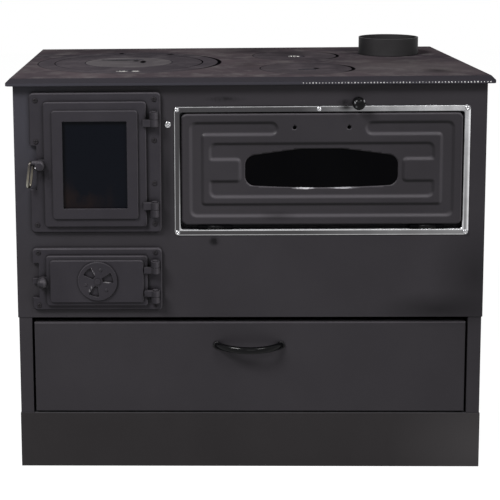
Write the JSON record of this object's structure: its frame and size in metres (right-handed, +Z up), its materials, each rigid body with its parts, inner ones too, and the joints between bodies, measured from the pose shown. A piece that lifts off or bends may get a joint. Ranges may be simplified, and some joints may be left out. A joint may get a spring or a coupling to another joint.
{
  "type": "wood cookstove",
  "caption": "Freestanding wood cookstove: glazed fire door and ash door on the left, drop-down oven door on the right, log drawer below, hob plate with lift-out rings, lids and flue collar.",
  "frame": {"origin": "on the floor, under the centre of the overall box", "axes": "+X to the viewer's right along the width, +Y from the doors to the back, +Z up"},
  "size_m": [0.86, 0.537, 0.755],
  "materials": {
    "casing_enamel": "satin dark charcoal enamel",
    "inner_sheet": "dull dark sheet",
    "cast_black": "fine-grained charcoal heat paint",
    "hob_iron": "dull brownish oiled iron",
    "collar_steel": "plain dark",
    "oven_enamel": "gloss black enamel",
    "door_enamel": "satin dark charcoal enamel",
    "bright_trim": "polished",
    "plain_steel": "plain",
    "warm_nickel": "polished nickel wire",
    "black_gloss": "gloss black",
    "fire_glass": "smoked ceramic glass",
    "oven_glass": "black-printed glass",
    "rope": "woven glass-fibre rope",
    "firebrick": "rough fireclay"
  },
  "bodies": {
    "stove": {"ash_chamber": "inner_sheet", "ash_door_frame": "cast_black", "ash_pan": "inner_sheet", "back_panel": "casing_enamel", "base_back": "casing_enamel", "base_floor": "inner_sheet", "base_side_left": "casing_enamel", "base_side_right": "casing_enamel", "casing_floor": "inner_sheet", "collar_bolts": "plain_steel", "door_hinge_pins": "plain_steel", "drawer_runners": "inner_sheet", "fire_door_frame": "cast_black", "firebox_shell": "inner_sheet", "firebricks": "firebrick", "flue_collar": "collar_steel", "frame_screws": "plain_steel", "front_panel": "casing_enamel", "grate": "cast_black", "grate_frame": "cast_black", "hob_plate": "hob_iron", "log_guard": "cast_black", "oven_box": "oven_enamel", "oven_hinge_leaves": "plain_steel", "oven_hinge_pins": "plain_steel", "oven_rack": "bright_trim", "oven_trim": "bright_trim", "oven_trim_screws": "bright_trim", "panel_screw": "bright_trim", "plinth": "casing_enamel", "side_panel_left": "casing_enamel", "side_panel_right": "casing_enamel", "smoke_baffle": "inner_sheet", "smoke_floor": "inner_sheet"},
    "fire_door": {"fire_door": "cast_black", "fire_door_gasket": "rope", "fire_door_glass": "fire_glass", "fire_glass_clips": "plain_steel"},
    "fire_latch": {"fire_latch": "cast_black", "fire_latch_handle": "warm_nickel"},
    "ash_door": {"ash_door": "cast_black", "air_disc_rivet": "plain_steel"},
    "ash_latch": {"ash_latch": "cast_black"},
    "air_disc": {"air_disc": "cast_black"},
    "oven_door": {"oven_door_outer": "door_enamel", "oven_door_inner": "oven_enamel", "oven_glass": "oven_glass"},
    "log_drawer": {"drawer_front": "casing_enamel", "drawer_box": "inner_sheet", "drawer_handle": "black_gloss", "drawer_handle_screws": "plain_steel"},
    "flue_damper": {"damper_knob": "black_gloss", "damper_rod": "plain_steel", "damper_plate": "inner_sheet"},
    "outer_ring": {"outer_ring": "hob_iron"},
    "inner_ring": {"inner_ring": "hob_iron"},
    "centre_disc": {"centre_disc": "hob_iron"},
    "front_lid": {"front_lid": "hob_iron"},
    "rear_lid": {"rear_lid": "hob_iron"}
  },
  "joints": [
    {"name": "fire_door_swing", "type": "hinge", "parent": "stove", "child": "fire_door", "pos_m": [-0.1677, -0.253, 0.56575], "axis": [0, 0, 1], "range_deg": [0, 100]},
    {"name": "fire_latch_turn", "type": "hinge", "parent": "fire_door", "child": "fire_latch", "pos_m": [-0.3704, -0.2441, 0.56575], "axis": [0, 1, 0], "range_deg": [0, 90]},
    {"name": "ash_door_swing", "type": "hinge", "parent": "stove", "child": "ash_door", "pos_m": [-0.1677, -0.253, 0.3542], "axis": [0, 0, 1], "range_deg": [0, 100]},
    {"name": "ash_latch_turn", "type": "hinge", "parent": "ash_door", "child": "ash_latch", "pos_m": [-0.3704, -0.2441, 0.352], "axis": [0, 1, 0], "range_deg": [0, 90]},
    {"name": "air_disc_turn", "type": "hinge", "parent": "ash_door", "child": "air_disc", "pos_m": [-0.27095, -0.2441, 0.3557], "axis": [0, 1, 0], "range_deg": [0, 60]},
    {"name": "oven_door_drop", "type": "hinge", "parent": "stove", "child": "oven_door", "pos_m": [0.1281, -0.2365, 0.4495], "axis": [1, 0, 0], "range_deg": [0, 90]},
    {"name": "log_drawer_slide", "type": "slide", "parent": "stove", "child": "log_drawer", "axis": [0, -1, 0], "range_m": [0, 0.4]},
    {"name": "flue_damper_pull", "type": "slide", "parent": "stove", "child": "flue_damper", "axis": [0, -1, 0], "range_m": [0, 0.09]},
    {"name": "outer_ring_lift", "type": "slide", "parent": "stove", "child": "outer_ring", "axis": [0, 0, 1], "range_m": [0, 0.06]},
    {"name": "inner_ring_lift", "type": "slide", "parent": "outer_ring", "child": "inner_ring", "axis": [0, 0, 1], "range_m": [0, 0.06]},
    {"name": "centre_disc_lift", "type": "slide", "parent": "inner_ring", "child": "centre_disc", "axis": [0, 0, 1], "range_m": [0, 0.06]},
    {"name": "front_lid_lift", "type": "slide", "parent": "stove", "child": "front_lid", "axis": [0, 0, 1], "range_m": [0, 0.06]},
    {"name": "rear_lid_lift", "type": "slide", "parent": "stove", "child": "rear_lid", "axis": [0, 0, 1], "range_m": [0, 0.06]}
  ]
}
